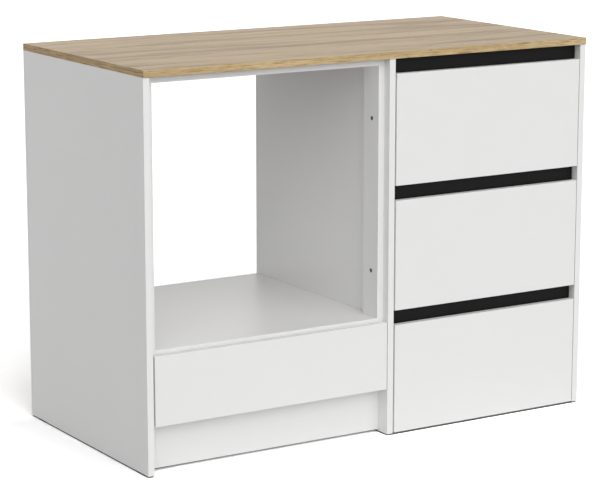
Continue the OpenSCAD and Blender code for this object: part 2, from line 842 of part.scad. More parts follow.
module drawer_fittings(d) {
    color(steel) on_box_sides(d) {
        at_front_joints(d) {
            rotate([0, 0, 90]) bar_x(-bolt_in, cam_reach - cam_r - fit, bolt_r);
            translate([drawer_side_t / 2 - cam_h, cam_reach, 0]) bar_x(0, cam_h, cam_r);
        }
        at_back_joints(d) {
            bar_x(0, back_screw_head_t, back_screw_head_r);
            bar_x(0, back_screw_l, back_screw_r);
        }
        at_box_screws(d) {
            bar_x(-runner_sheet - fit, box_screw_bite, box_screw_r);
            bar_x(-runner_sheet - runner_screw_head_t, -runner_sheet, box_screw_head_r);
        }
    }
}

worktop();
left_upright();
middle_upright();
right_upright();
oven_shelf();
low_base();
bank_base();
plinth();
front_rail();
rear_rail();
bank_rear_rail();
left_filler();
right_filler();
grip_rail(TOP);  // top_grip_rail
grip_rail(MIDDLE);  // middle_grip_rail
grip_rail(BOTTOM);  // bottom_grip_rail
back_panel(BANK_BAY, bank_base_z, z_under_top);  // bank_back_panel
back_panel(OVEN_BAY, low_base_top, shelf_under);  // low_back_panel
glides();
cam_fittings();
dowels();
assembly_screws();
cabinet_runners();
runner_screws();

guide_rollers(TOP_DRAWER);  // top_drawer_guide_rollers
drawer_front(TOP_DRAWER);  // top_drawer_front
drawer_left_side(TOP_DRAWER);  // top_drawer_left_side
drawer_right_side(TOP_DRAWER);  // top_drawer_right_side
drawer_back(TOP_DRAWER);  // top_drawer_back
drawer_bottom(TOP_DRAWER);  // top_drawer_bottom
drawer_runners(TOP_DRAWER);  // top_drawer_runners
drawer_rollers(TOP_DRAWER);  // top_drawer_rollers
drawer_fittings(TOP_DRAWER);  // top_drawer_fittings

guide_rollers(MIDDLE_DRAWER);  // middle_drawer_guide_rollers
drawer_front(MIDDLE_DRAWER);  // middle_drawer_front
drawer_left_side(MIDDLE_DRAWER);  // middle_drawer_left_side
drawer_right_side(MIDDLE_DRAWER);  // middle_drawer_right_side
drawer_back(MIDDLE_DRAWER);  // middle_drawer_back
drawer_bottom(MIDDLE_DRAWER);  // middle_drawer_bottom
drawer_runners(MIDDLE_DRAWER);  // middle_drawer_runners
drawer_rollers(MIDDLE_DRAWER);  // middle_drawer_rollers
drawer_fittings(MIDDLE_DRAWER);  // middle_drawer_fittings

guide_rollers(BOTTOM_DRAWER);  // bottom_drawer_guide_rollers
drawer_front(BOTTOM_DRAWER);  // bottom_drawer_front
drawer_left_side(BOTTOM_DRAWER);  // bottom_drawer_left_side
drawer_right_side(BOTTOM_DRAWER);  // bottom_drawer_right_side
drawer_back(BOTTOM_DRAWER);  // bottom_drawer_back
drawer_bottom(BOTTOM_DRAWER);  // bottom_drawer_bottom
drawer_runners(BOTTOM_DRAWER);  // bottom_drawer_runners
drawer_rollers(BOTTOM_DRAWER);  // bottom_drawer_rollers
drawer_fittings(BOTTOM_DRAWER);  // bottom_drawer_fittings

guide_rollers(OVEN_DRAWER);  // oven_drawer_guide_rollers
drawer_front(OVEN_DRAWER);  // oven_drawer_front
drawer_left_side(OVEN_DRAWER);  // oven_drawer_left_side
drawer_right_side(OVEN_DRAWER);  // oven_drawer_right_side
drawer_back(OVEN_DRAWER);  // oven_drawer_back
drawer_bottom(OVEN_DRAWER);  // oven_drawer_bottom
drawer_runners(OVEN_DRAWER);  // oven_drawer_runners
drawer_rollers(OVEN_DRAWER);  // oven_drawer_rollers
drawer_fittings(OVEN_DRAWER);  // oven_drawer_fittings
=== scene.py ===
import json
import math

import bmesh
import bpy
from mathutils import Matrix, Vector


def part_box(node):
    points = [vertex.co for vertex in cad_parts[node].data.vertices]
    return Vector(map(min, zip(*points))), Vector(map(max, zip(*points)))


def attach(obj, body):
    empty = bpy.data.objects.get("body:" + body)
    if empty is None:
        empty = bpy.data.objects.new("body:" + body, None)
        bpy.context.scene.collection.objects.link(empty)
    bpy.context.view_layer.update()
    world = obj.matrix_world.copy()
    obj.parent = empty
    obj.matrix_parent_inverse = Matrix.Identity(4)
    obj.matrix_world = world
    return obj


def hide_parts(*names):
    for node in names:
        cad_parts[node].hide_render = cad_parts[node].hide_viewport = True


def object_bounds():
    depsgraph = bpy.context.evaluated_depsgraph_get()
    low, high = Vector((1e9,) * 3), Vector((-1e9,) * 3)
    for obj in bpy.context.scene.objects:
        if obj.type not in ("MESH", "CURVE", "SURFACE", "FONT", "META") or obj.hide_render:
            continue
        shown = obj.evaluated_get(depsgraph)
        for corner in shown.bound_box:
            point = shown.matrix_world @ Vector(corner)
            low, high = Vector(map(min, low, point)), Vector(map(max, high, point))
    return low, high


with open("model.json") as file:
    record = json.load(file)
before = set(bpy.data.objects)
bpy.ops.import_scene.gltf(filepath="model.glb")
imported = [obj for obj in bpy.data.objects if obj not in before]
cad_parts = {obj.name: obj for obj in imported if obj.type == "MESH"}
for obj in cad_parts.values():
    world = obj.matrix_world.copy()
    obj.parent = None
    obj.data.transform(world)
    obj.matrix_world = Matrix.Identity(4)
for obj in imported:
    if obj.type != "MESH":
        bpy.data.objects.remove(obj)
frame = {"nodes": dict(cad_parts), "record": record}
frame_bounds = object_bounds()

# An oven cabinet: melamine boards with banded edges, an oak worktop, pressed steel runners
# with nylon rollers, and zinc fittings. Lengths are in metres.
MM = 0.001
scene = bpy.context.scene

# The lamp and camera that a new file starts with go, so that only the studio's are there
for spare in [o for o in scene.objects if o.type in {"LIGHT", "CAMERA"}]:
    bpy.data.objects.remove(spare)


# Colours

def srgb(red, green, blue):
    """A colour as it is seen on a screen, from 0 to 255, as linear light."""
    def linear(c):
        c /= 255
        return c / 12.92 if c <= 0.04045 else ((c + 0.055) / 1.055) ** 2.4
    return (linear(red), linear(green), linear(blue), 1.0)


def grey(shade):
    return (shade, shade, shade, 1.0)


def darker(tone, share):
    return tuple(share * c for c in tone[:3]) + (1.0,)


# Node trees

class Value:
    """An output socket that stands in sums and products."""

    def __init__(self, tree, socket):
        self.tree = tree
        self.socket = socket

    def __add__(self, other):
        return self.tree.maths("ADD", self, other)

    def __radd__(self, other):
        return self.tree.maths("ADD", other, self)

    def __sub__(self, other):
        return self.tree.maths("SUBTRACT", self, other)

    def __rsub__(self, other):
        return self.tree.maths("SUBTRACT", other, self)

    def __mul__(self, other):
        return self.tree.maths("MULTIPLY", self, other)

    def __rmul__(self, other):
        return self.tree.maths("MULTIPLY", other, self)

    def __truediv__(self, other):
        return self.tree.maths("DIVIDE", self, other)

    def __rtruediv__(self, other):
        return self.tree.maths("DIVIDE", other, self)

    def __neg__(self):
        return self.tree.maths("MULTIPLY", self, -1.0)

    def clamped(self):
        return self.tree.maths("ADD", self, 0.0, clamp=True)

    def band(self, low, high):
        """0 below low, 1 above high, and a smooth step between them."""
        return self.tree.add("ShaderNodeMapRange", {"interpolation_type": "SMOOTHSTEP"},
                             {"Value": self, "From Min": low, "From Max": high})


class Tree:
    """A node tree that is written as calls: add() makes a node and returns one of its outputs."""

    def __init__(self, tree):
        self.tree = tree

    def add(self, kind, settings=None, sockets=None, out=0):
        node = self.tree.nodes.new(kind)
        for name, value in (settings or {}).items():
            if name == "stops":
                self.set_stops(node.color_ramp, value)
            else:
                setattr(node, name, value)
        for name, value in (sockets or {}).items():
            self.put(node.inputs[name], value)
        return Value(self, node.outputs[out]) if node.outputs else None

    def put(self, socket, value):
        if isinstance(value, Value):
            self.tree.links.new(value.socket, socket)
        elif isinstance(value, list):
            for one in value:
                self.put(socket, one)
        else:
            socket.default_value = value

    @staticmethod
    def set_stops(ramp, stops):
        while len(ramp.elements) > 1:
            ramp.elements.remove(ramp.elements[-1])
        ramp.elements[0].position, ramp.elements[0].color = stops[0]
        for position, colour in stops[1:]:
            ramp.elements.new(position).color = colour

    def maths(self, operation, *terms, clamp=False):
        settings = {"operation": operation, "use_clamp": clamp}
        return self.add("ShaderNodeMath", settings, dict(enumerate(terms)))

    def mix(self, share, first, second, blend="MIX"):
        """Two colours in one; share is how much of the second one it takes."""
        settings = {"data_type": "RGBA", "blend_type": blend}
        return self.add("ShaderNodeMix", settings, {0: share, 6: first, 7: second}, out=2)

    def vector(self, x, y, z):
        return self.add("ShaderNodeCombineXYZ", None, {0: x, 1: y, 2: z})

    def part(self, vector, axis):
        """What a vector measures along one axis."""
        return self.add("ShaderNodeSeparateXYZ", None, {0: vector}, out=axis)

    def noise(self, place, scale, detail=2.0, roughness=0.5, distortion=0.0):
        return self.add("ShaderNodeTexNoise", None, {
            "Vector": place, "Scale": scale, "Detail": detail, "Roughness": roughness,
            "Distortion": distortion})

    def bump(self, height, depth, strength=1.0):
        """A normal from a height between 0 and 1 that stands for depth in metres."""
        return self.add("ShaderNodeBump", None, {
            "Height": height, "Distance": depth, "Strength": strength})


# Materials: noise scales are counts in a metre, and depths of a bump are in metres

def new_material(name):
    """A material with an empty tree, and the place on the piece in metres."""
    material = bpy.data.materials.new(name)
    material.use_nodes = True
    material.node_tree.nodes.clear()
    tree = Tree(material.node_tree)
    return material, tree, tree.add("ShaderNodeTexCoord", out="Object")


def coat(tree, sockets):
    """Ends a material's tree with one surface."""
    surface = tree.add("ShaderNodeBsdfPrincipled", None, sockets)
    tree.add("ShaderNodeOutputMaterial", None, {"Surface": surface})


def length_first(tree, place, along):
    """What a place measures along one axis, and then along the two others."""
    across = [tree.part(place, axis) for axis in range(3)]
    length = across.pop("xyz".index(along))
    return length, *across


def stretched(tree, place, along, length_scale, cross_scale):
    """The place with its scale set apart along and across one axis, which comes first."""
    length, first, second = length_first(tree, place, along)
    return tree.vector(length * length_scale, first * cross_scale, second * cross_scale)


def melamine(name, tone, roughness, gloss=0.5):
    """Melamine facing: an even colour with faint clouds and a fine pressed grain."""
    material, tree, place = new_material(name)
    clouds = tree.noise(place, 5.0, 3.0)
    speckle = tree.noise(place, 700.0, 2.0)
    shade = 0.985 + 0.02 * clouds + 0.01 * speckle
    pressed = tree.noise(place, 1500.0, 3.0, 0.6)
    smears = tree.noise(place, 14.0, 4.0, 0.65)
    shading = tree.add("ShaderNodeCombineColor", None, {0: shade, 1: shade, 2: shade})
    coat(tree, {
        "Base Color": tree.mix(1.0, tone, shading, "MULTIPLY"),
        "Roughness": roughness - 0.04 + 0.08 * smears,
        "Specular IOR Level": gloss,
        "Normal": tree.bump(pressed, 0.02 * MM, 0.5),
    })
    return material


def edge_band(name, tone, roughness):
    """Plastic edge band: smoother than the facing, with a ripple from the trimming cutter."""
    material, tree, place = new_material(name)
    ripple = tree.noise(place, 260.0, 2.0)
    scuffs = tree.noise(place, 40.0, 5.0, 0.7)
    coat(tree, {
        "Base Color": tree.mix(scuffs.band(0.62, 0.8) * 0.3, tone, darker(tone, 0.94)),
        "Roughness": roughness + 0.1 * scuffs,
        "Normal": tree.bump(ripple, 0.04 * MM, 0.4),
    })
    return material


def chipboard():
    """Raw board where no band covers it, and in its bores: pressed flakes of pale wood."""
    material, tree, place = new_material("chipboard")
    flakes = tree.add("ShaderNodeTexVoronoi", {"feature": "F1"}, {
        "Vector": place, "Scale": 420.0, "Randomness": 1.0}, out="Color")
    flake_tone = tree.add("ShaderNodeSeparateColor", None, {0: flakes})
    dust = tree.noise(place, 900.0, 4.0, 0.7)
    tone = tree.add("ShaderNodeValToRGB", {"stops": [
        (0.0, srgb(128, 98, 66)), (0.35, srgb(176, 146, 108)), (0.7, srgb(201, 174, 136)),
        (1.0, srgb(222, 200, 166))]}, {0: 0.7 * flake_tone + 0.3 * dust})
    coat(tree, {
        "Base Color": tone,
        "Roughness": 0.82 + 0.1 * dust,
        "Normal": tree.bump(0.6 * flake_tone + 0.4 * dust, 0.5 * MM, 0.7),
    })
    return material


def fibreboard():
    """The raw rear face of a thin panel: brown fibres pressed on a wire screen."""
    material, tree, place = new_material("raw_fibreboard")
    screen = tree.add("ShaderNodeTexVoronoi", {"feature": "F1"}, {
        "Vector": place, "Scale": 650.0, "Randomness": 0.35})
    fibres = tree.noise(place, 380.0, 5.0, 0.7, 1.2)
    patches = tree.noise(place, 9.0, 3.0)
    tone = tree.add("ShaderNodeValToRGB", {"stops": [
        (0.25, srgb(134, 101, 70)), (0.5, srgb(163, 128, 93)), (0.8, srgb(184, 151, 114))]},
        {0: 0.65 * fibres + 0.35 * patches})
    coat(tree, {
        "Base Color": tone,
        "Roughness": 0.75 + 0.15 * fibres,
        "Normal": tree.bump(0.5 * screen + 0.5 * fibres, 0.25 * MM, 0.6),
    })
    return material


def oak(name, along, tones, streaks, rings, marks, knots):
    """Oak decor with its grain along one axis. Tones go from light to the brown of the knots.
    Streaks, rings, marks and knots are counts in a metre, along the grain and across it."""
    light, middle, dark, brown = tones
    material, tree, place = new_material(name)
    flow = tree.vector(*length_first(tree, place, along))

    def scaled(counts, by=1.0):
        return tree.add("ShaderNodeVectorMath", {"operation": "MULTIPLY"}, {
            0: flow, 1: (counts[0] * by, counts[1] * by, counts[1] * by)})

    def grain(counts, by=1.0, detail=2.0, roughness=0.5):
        return tree.noise(scaled(counts, by), 1.0, detail, roughness)

    # The grain runs round the knots and wanders a little
    knot = tree.add("ShaderNodeTexVoronoi", {"feature": "F1"}, {
        "Vector": scaled(knots), "Scale": 1.0, "Randomness": 1.0})
    wander = grain(streaks, 1.7) - 0.5 + 0.9 * (1.0 - knot.band(0.0, 0.42))
    aside = wander * (0.2 / streaks[1])
    flow = tree.add("ShaderNodeVectorMath", {"operation": "ADD"}, {
        0: flow, 1: tree.vector(0.0, aside, aside)})

    # Rings are the level lines of a smooth field, with this many to its whole rise
    rings_to_a_rise = 9.0
    rise = grain(rings, 1.0, 2.0, 0.4) * rings_to_a_rise
    lines = tree.maths("PINGPONG", rise, 1.0).band(0.45, 1.0)
    broad = grain(streaks, 0.3, 1.0)
    streak = grain(streaks, 1.0, 2.0, 0.5).band(0.53, 0.64)
    thread = grain(streaks, 2.3, 3.0, 0.6).band(0.5, 0.7)
    mark = grain(marks, 1.0, 2.0, 0.6).band(0.6, 0.7)
    fibres = grain((14.0, 620.0), 1.0, 3.0, 0.6)
    pores = grain((55.0, 1700.0), 1.0, 2.0).band(0.6, 0.72)
    tone = tree.add("ShaderNodeValToRGB", {"stops": [(0.3, light), (0.75, middle)]}, {0: broad})
    for share, colour in [
            (0.3 * lines, dark), (0.35 * thread, dark), (0.7 * streak, dark),
            (0.3 * fibres.band(0.4, 0.75), dark), (0.35 * pores, brown), (0.5 * mark, brown),
            (0.8 * (1.0 - knot.band(0.02, 0.11)), brown)]:
        tone = tree.mix(share, tone, colour)
    coat(tree, {
        "Base Color": tone,
        "Roughness": 0.48 + 0.1 * fibres + 0.1 * pores,
        "Specular IOR Level": 0.3,
        "Normal": tree.bump(fibres - 0.8 * pores, 0.05 * MM, 0.6),
    })
    return material


def powder_coat():
    """White baked powder on the pressed steel runners."""
    material, tree, place = new_material("powder_coat")
    peel = tree.noise(place, 850.0, 2.0)
    grime = tree.noise(place, 60.0, 4.0, 0.7).band(0.55, 0.8)
    coat(tree, {
        "Base Color": tree.mix(0.3 * grime, srgb(226, 226, 223), srgb(196, 195, 190)),
        "Roughness": 0.38 + 0.12 * peel + 0.1 * grime,
        "Normal": tree.bump(peel, 0.03 * MM, 0.6),
    })
    return material


def plated(name, dark, light):
    """Plated steel of the fittings: crystal patches between two tones, and fine scratches."""
    material, tree, place = new_material(name)
    crystals = tree.add("ShaderNodeTexVoronoi", {"feature": "F1"}, {
        "Vector": place, "Scale": 900.0}, out="Color")
    crystal = tree.add("ShaderNodeSeparateColor", None, {0: crystals})
    scratches = tree.noise(stretched(tree, place, "z", 3000.0, 300.0), 1.0, 3.0)
    coat(tree, {
        "Base Color": tree.mix(0.5 * crystal, dark, light),
        "Metallic": 1.0,
        "Roughness": 0.28 + 0.12 * crystal + 0.1 * scratches,
        "Normal": tree.bump(scratches, 0.01 * MM, 0.5),
    })
    return material


def moulded(name, tone, roughness, gloss=0.5):
    """Moulded plastic: faint flow marks and a fine spark-eroded texture."""
    material, tree, place = new_material(name)
    texture = tree.noise(place, 2600.0, 2.0)
    flow = tree.noise(place, 120.0, 3.0, 0.6, 0.8)
    coat(tree, {
        "Base Color": tree.mix(0.25 * flow, tone, darker(tone, 0.85)),
        "Roughness": roughness + 0.12 * flow,
        "Specular IOR Level": gloss,
        "Normal": tree.bump(texture, 0.02 * MM, 0.5),
    })
    return material


def beech():
    """Turned beech of the dowels: pale wood with short flecks along the dowel."""
    material, tree, place = new_material("beech")
    flecks = tree.noise(stretched(tree, place, "x", 250.0, 1400.0), 1.0, 3.0, 0.6)
    coat(tree, {
        "Base Color": tree.mix(flecks.band(0.35, 0.7), srgb(214, 182, 140), srgb(184, 147, 104)),
        "Roughness": 0.6 + 0.15 * flecks,
        "Normal": tree.bump(flecks, 0.1 * MM, 0.5),
    })
    return material


# Oak tones are light, middle, dark and the brown of the knots. Grain is streaks, rings, marks
# and knots.
TOP_TONES = srgb(198, 176, 142), srgb(186, 164, 131), srgb(140, 118, 93), srgb(96, 74, 54)
BAND_TONES = srgb(212, 188, 143), srgb(190, 163, 118), srgb(141, 113, 72), srgb(88, 61, 35)
END_TONES = srgb(195, 167, 123), srgb(171, 142, 98), srgb(117, 90, 55), srgb(76, 53, 31)
TOP_GRAIN = (1.4, 24.0), (1.3, 24.0), (14.0, 160.0), (1.6, 4.2)
BAND_GRAIN = (14.0, 260.0), (12.0, 190.0), (40.0, 260.0), (6.0, 55.0)

white_facing = melamine("white_facing", srgb(233, 233, 232), 0.42)
white_band = edge_band("white_band", srgb(235, 235, 234), 0.33)
drawer_facing = melamine("drawer_facing", srgb(230, 230, 228), 0.48)
drawer_band = edge_band("drawer_band", srgb(232, 232, 230), 0.38)
black_facing = melamine("black_facing", srgb(26, 26, 26), 0.55, 0.08)
black_band = edge_band("black_band", srgb(33, 33, 33), 0.45)
panel_lacquer = melamine("panel_lacquer", srgb(229, 229, 226), 0.34)
raw_core = chipboard()
raw_panel = fibreboard()
# Painted shade: the fillers' core is dark grey so that their screw bores look shaded; it also
# covers the fillers' raw ends
grey_core = melamine("grey_core", srgb(112, 110, 106), 0.7, 0.2)
oak_facing = oak("oak_facing", "x", TOP_TONES, *TOP_GRAIN)
oak_front_band = oak("oak_front_band", "x", BAND_TONES, *BAND_GRAIN)
oak_end_band = oak("oak_end_band", "y", END_TONES, *BAND_GRAIN)
kraft_backing = melamine("kraft_backing", srgb(122, 97, 72), 0.6, 0.3)
powder = powder_coat()
zinc_plate = plated("zinc", srgb(158, 160, 163), srgb(190, 191, 192))
black_zinc = plated("black_zinc", srgb(74, 75, 78), srgb(104, 105, 107))
nylon = moulded("nylon", srgb(228, 227, 222), 0.42)
black_plastic = moulded("black_plastic", srgb(22, 22, 23), 0.7, 0.0)
beech_wood = beech()


# Boards

MERGE_DISTANCE = 0.001 * MM
EDGE = 0.5 * MM             # radius of a banded edge
PANEL_EDGE = 0.3 * MM       # radius of a thin panel's edge
ROUNDING_STEPS = 3
COAT_REACH = 1.5            # how far in from a side its coat goes, in radii of the edge
LEAST_LEAN = 0.05           # a face whose normal leans less towards a side isn't part of it


def merged(node):
    """A copy of a node's mesh with its loose triangles joined."""
    mesh = frame["nodes"][node].data.copy()
    shape = bmesh.new()
    shape.from_mesh(mesh)
    bmesh.ops.remove_doubles(shape, verts=shape.verts, dist=MERGE_DISTANCE)
    shape.to_mesh(mesh)
    shape.free()
    return mesh


def new_object(name, data):
    made = bpy.data.objects.new(name, data)
    scene.collection.objects.link(made)
    return made


def applied(draft, name):
    """A plain mesh object of what a draft object's modifiers give. The draft goes."""
    graph = bpy.context.evaluated_depsgraph_get()
    mesh = bpy.data.meshes.new_from_object(draft.evaluated_get(graph))
    bpy.data.objects.remove(draft)
    mesh.name = name
    return new_object(name, mesh)


def rounded_block(low, high, radius):
    """A block between two corners with its twelve edges rounded."""
    mesh = bpy.data.meshes.new("block")
    shape = bmesh.new()
    bmesh.ops.create_cube(shape, size=1.0)
    for corner in shape.verts:
        corner.co = [high[i] if corner.co[i] > 0 else low[i] for i in range(3)]
    bmesh.ops.bevel(shape, geom=shape.edges[:], offset=radius, segments=ROUNDING_STEPS,
                    profile=0.5, affect="EDGES", clamp_overlap=True)
    bmesh.ops.recalc_face_normals(shape, faces=shape.faces)
    shape.to_mesh(mesh)
    shape.free()
    return mesh


def coat_of(face, low, high, depth, coats):
    """The material of the side of the block that a face lies on, or none inside it and on a raw
    side. The rounding between a coated side and a raw one is coated."""
    for axis in sorted(range(3), key=lambda i: -abs(face.normal[i])):
        outwards = face.normal[axis] > 0
        surface = high[axis] if outwards else low[axis]
        side = ("+" if outwards else "-") + "xyz"[axis]
        leans = abs(face.normal[axis]) > LEAST_LEAN
        if leans and abs(face.center[axis] - surface) < depth and side in coats:
            return coats[side]
    return None


def stand_in(piece, node):
    """The piece takes a node's place: it moves with that node's body, and the node is hidden."""
    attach(piece, body_of[node])
    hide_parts(node)
    return piece


def board(node, coats, radius, core=raw_core):
    """The node as a board with rounded edges. coats gives each side's material, and the rest
    is core."""
    low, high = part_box(node)
    draft = new_object("draft", rounded_block(low, high, radius))
    cutter = new_object("cutter", merged(node))
    cut = draft.modifiers.new("bores", "BOOLEAN")
    cut.operation, cut.solver, cut.object = "INTERSECT", "MANIFOLD", cutter
    piece = applied(draft, node + "_board")
    bpy.data.objects.remove(cutter)
    finishes = [core] + sorted(set(coats.values()), key=lambda m: m.name)
    piece.data.materials.clear()
    for finish in finishes:
        piece.data.materials.append(finish)
    for face in piece.data.polygons:
        finish = coat_of(face, low, high, COAT_REACH * radius, coats) or core
        face.material_index = finishes.index(finish)
        face.use_smooth = False
    return stand_in(piece, node)


def laminated(node, facing, band, banded, core=raw_core):
    """A board with facing on both faces and a band on the edges that are named."""
    low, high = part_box(node)
    thin = min(range(3), key=lambda i: high[i] - low[i])
    coats = {side: band for side in banded.split()}
    coats.update({sign + "xyz"[thin]: facing for sign in "-+"})
    return board(node, coats, EDGE, core)


body_of = {node: body for body, nodes in frame["record"]["behaviour"]["bodies"].items()
           for node in nodes}
DRAWERS = ["top_drawer", "middle_drawer", "bottom_drawer", "oven_drawer"]
BANDED = {
    "left_upright": "-y -z", "middle_upright": "-y -z", "right_upright": "-y -z",
    "oven_shelf": "-y", "low_base": "-y", "bank_base": "-y", "plinth": "-z", "front_rail": "-y",
    "rear_rail": "-z", "bank_rear_rail": "-z", "left_filler": "-y +y", "right_filler": "-y +y",
}

for node, banded in BANDED.items():
    # the fillers take the dark core, which paints shade into their screw bores
    core = grey_core if node.endswith("filler") else raw_core
    laminated(node, white_facing, white_band, banded, core)
for level in ["top", "middle", "bottom"]:
    laminated(level + "_grip_rail", black_facing, black_band, "-z +z")
board("worktop", {
    "+z": oak_facing, "-z": kraft_backing, "-y": oak_front_band,
    "-x": oak_end_band, "+x": oak_end_band}, EDGE)
for node in ["bank_back_panel", "low_back_panel"]:
    board(node, {"-y": panel_lacquer, "+y": raw_panel}, PANEL_EDGE)
for drawer in DRAWERS:
    laminated(drawer + "_front", white_facing, white_band, "-x +x -z +z")
    for part in ["left_side", "right_side", "back"]:
        laminated(f"{drawer}_{part}", drawer_facing, drawer_band, "+z")
    board(drawer + "_bottom", {"+z": panel_lacquer, "-z": raw_panel}, PANEL_EDGE)


# Fittings: each kind is one shape in a geometry tree, put on the places of the CAD's solids.
# In the shapes, heights go from a fitting's start along its axis.

HEAD_STEP = 0.3 * MM            # a head stands out from its shank by more than this
LEAST_CAM_RADIUS = 6 * MM
BOLT_THREAD = 11 * MM           # how long the thread of a cam's bolt is
ROLLER_BORE = 2.15 * MM         # radius
PIN_RADIUS = 1.5 * MM
PIN_CLEARANCE = 2 * MM          # what reaches further out than this is a glide's slab
SHARP_ANGLE = math.radians(32)


def solids(node):
    """The separate solids of a node, as lists of their corners."""
    shape = bmesh.new()
    shape.from_mesh(merged(node))
    left = set(shape.verts)
    found = []
    while left:
        group = {left.pop()}
        newest = set(group)
        while newest:
            newest = {e.other_vert(v) for v in newest for e in v.link_edges} - group
            group |= newest
        left -= group
        found.append([v.co.copy() for v in group])
    shape.free()
    return sorted(found, key=lambda corners: tuple(round(c / MM) for c in middle_of(corners)))


def middle_of(corners):
    low = Vector([min(c[i] for c in corners) for i in range(3)])
    high = Vector([max(c[i] for c in corners) for i in range(3)])
    return (low + high) / 2


def measured(corners):
    """A turned solid's place and sizes. It starts at its thick end, or at its low end where
    both are the same."""
    middle = middle_of(corners)
    reach = [max(abs(c[i] - middle[i]) for c in corners) for i in range(3)]
    # Across its own axis, a turned solid reaches equally far along both other axes
    axis = min(range(3), key=lambda i: abs(reach[i - 1] - reach[i - 2]))
    along = Vector([float(i == axis) for i in range(3)])

    def radius(corner):
        offset = corner - middle
        return (offset - offset.dot(along) * along).length

    def end_radius(sign):
        end = middle[axis] + sign * reach[axis]
        return max(radius(c) for c in corners if abs(c[axis] - end) < MM)

    low_end, high_end = end_radius(-1), end_radius(1)
    shank = min(low_end, high_end)
    direction = along if low_end >= high_end else -along
    start = middle - direction * reach[axis]
    heads = [(c - start).dot(direction) for c in corners if radius(c) > shank + HEAD_STEP]
    return {"start": start, "direction": direction, "middle": middle,
            "Length": 2 * reach[axis], "Radius": max(low_end, high_end),
            "Shank Radius": shank, "Head Height": max(heads, default=0.0)}


def circle(tree, sides):
    return tree.add("GeometryNodeCurvePrimitiveCircle", None, {"Resolution": sides, "Radius": 1.0})


def turned(tree, outline, ring, thread=None):
    """A solid turned round Z: an outline of heights and radii that go upwards, and a thread."""
    points = [tree.add("GeometryNodePoints", None, {
        "Count": 1, "Position": tree.vector(0.0, 0.0, height), "Radius": radius})
        for height, radius in outline]
    if thread:
        points.append(thread)
    line = tree.add("GeometryNodePointsToCurves", None, {
        "Points": tree.add("GeometryNodeJoinGeometry", None, {"Geometry": points}),
        "Weight": tree.part(tree.add("GeometryNodeInputPosition"), 2)})
    return tree.add("GeometryNodeCurveToMesh", None, {
        "Curve": line, "Profile Curve": ring, "Scale": tree.add("GeometryNodeInputRadius"),
        "Fill Caps": True})


def mirrored(lower, length):
    """A whole outline from its lower half, for a fitting that is the same at both ends."""
    return lower + [(length - height, radius) for height, radius in reversed(lower)]


def rounded_rim(radius, rim):
    """The lower half of the outline of a disc whose rims are rounded."""
    return [(0.0, radius - 2 * rim), (0.3 * rim, radius - rim), (rim, radius - 0.3 * rim),
            (2 * rim, radius)]


def thread_points(tree, low, high, outer, inner, pitch):
    """Points of a thread between two heights: a root, a crest and a root for each ridge."""
    index = tree.add("GeometryNodeInputIndex")
    step = tree.maths("MODULO", index, 3.0)
    ridge = tree.maths("FLOOR", index / 3.0)
    crest = tree.maths("COMPARE", step, 1.0, 0.1)
    turns = tree.maths("FLOOR", (high - low) / pitch)
    return tree.add("GeometryNodePoints", None, {
        "Count": 3.0 * turns + 0.1,
        "Position": tree.vector(0.0, 0.0, low + pitch * (ridge + 0.1 + 0.4 * step)),
        "Radius": inner + (outer - inner) * crest})


def box(tree, x, y, z, at=(0.0, 0.0, 0.0)):
    cube = tree.add("GeometryNodeMeshCube", None, {"Size": tree.vector(x, y, z)})
    return tree.add("GeometryNodeTransform", None, {
        "Geometry": cube, "Translation": tree.vector(*at)})


def without(tree, body, *cuts):
    return tree.add("GeometryNodeMeshBoolean", {"operation": "DIFFERENCE", "solver": "MANIFOLD"}, {
        "Mesh 1": body, "Mesh 2": list(cuts)})


def together(tree, *bodies):
    return tree.add("GeometryNodeMeshBoolean", {"operation": "UNION", "solver": "MANIFOLD"}, {
        "Mesh 2": list(bodies)})


def cross_recess(tree, at, width, depth):
    """The two crossed slots for a screwdriver, round a height on the axis."""
    return [box(tree, width, width / 5, 2 * depth, (0.0, 0.0, at)),
            box(tree, width / 5, width, 2 * depth, (0.0, 0.0, at))]


def cam_lock(tree, sizes):
    """A zinc cam: rounded rims, a cross recess at both ends and the window for the bolt's head."""
    r, height = sizes["Radius"], sizes["Length"]
    body = turned(tree, mirrored(rounded_rim(r, 0.05 * r), height), circle(tree, 40))
    window = box(tree, r, r, 0.42 * height, (r * 0.75, 0.0, height / 2))
    return without(tree, body, *cross_recess(tree, 0.0, r, 0.2 * height),
                   *cross_recess(tree, height, r, 0.2 * height), window)


def cam_bolt(tree, sizes):
    """A cam's bolt: a ball head, a waist, a collar and a thread for the other board."""
    r, length = sizes["Radius"], sizes["Length"]
    collar = length - sizes["Thread Length"]
    thread = thread_points(tree, collar, length - 0.5 * r, 0.99 * r, 0.74 * r, 0.6 * r)
    return turned(tree, [
        (0.0, 0.45 * r), (0.12 * r, 0.75 * r), (0.5 * r, r), (r, r), (1.4 * r, 0.75 * r),
        (1.6 * r, 0.6 * r), (collar - 1.2 * r, 0.6 * r), (collar - r, 0.95 * r),
        (collar - 0.2 * r, 0.95 * r), (collar - 0.1 * r, 0.75 * r),
        (length - 0.4 * r, 0.7 * r), (length, 0.35 * r)], circle(tree, 24), thread)


def screw(tree, sizes):
    """A screw with a low domed head, a cross recess, a plain neck, a thread and a point."""
    r, length = sizes["Radius"], sizes["Length"]
    head, shank = sizes["Head Height"], sizes["Shank Radius"]
    thread = thread_points(tree, head + 1.1 * shank, length - 1.05 * shank,
                           0.99 * shank, 0.72 * shank, 0.65 * shank)
    body = turned(tree, [
        (0.0, 0.55 * r), (0.06 * head, 0.76 * r), (0.2 * head, 0.92 * r), (0.45 * head, r),
        (0.9 * head, r), (head, 0.97 * r), (head + 0.1 * shank, 0.95 * shank),
        (head + shank, 0.95 * shank), (length - shank, 0.68 * shank), (length, 0.2 * shank)],
        circle(tree, 20), thread)
    return without(tree, body, *cross_recess(tree, 0.0, 1.15 * r, 0.5 * head))


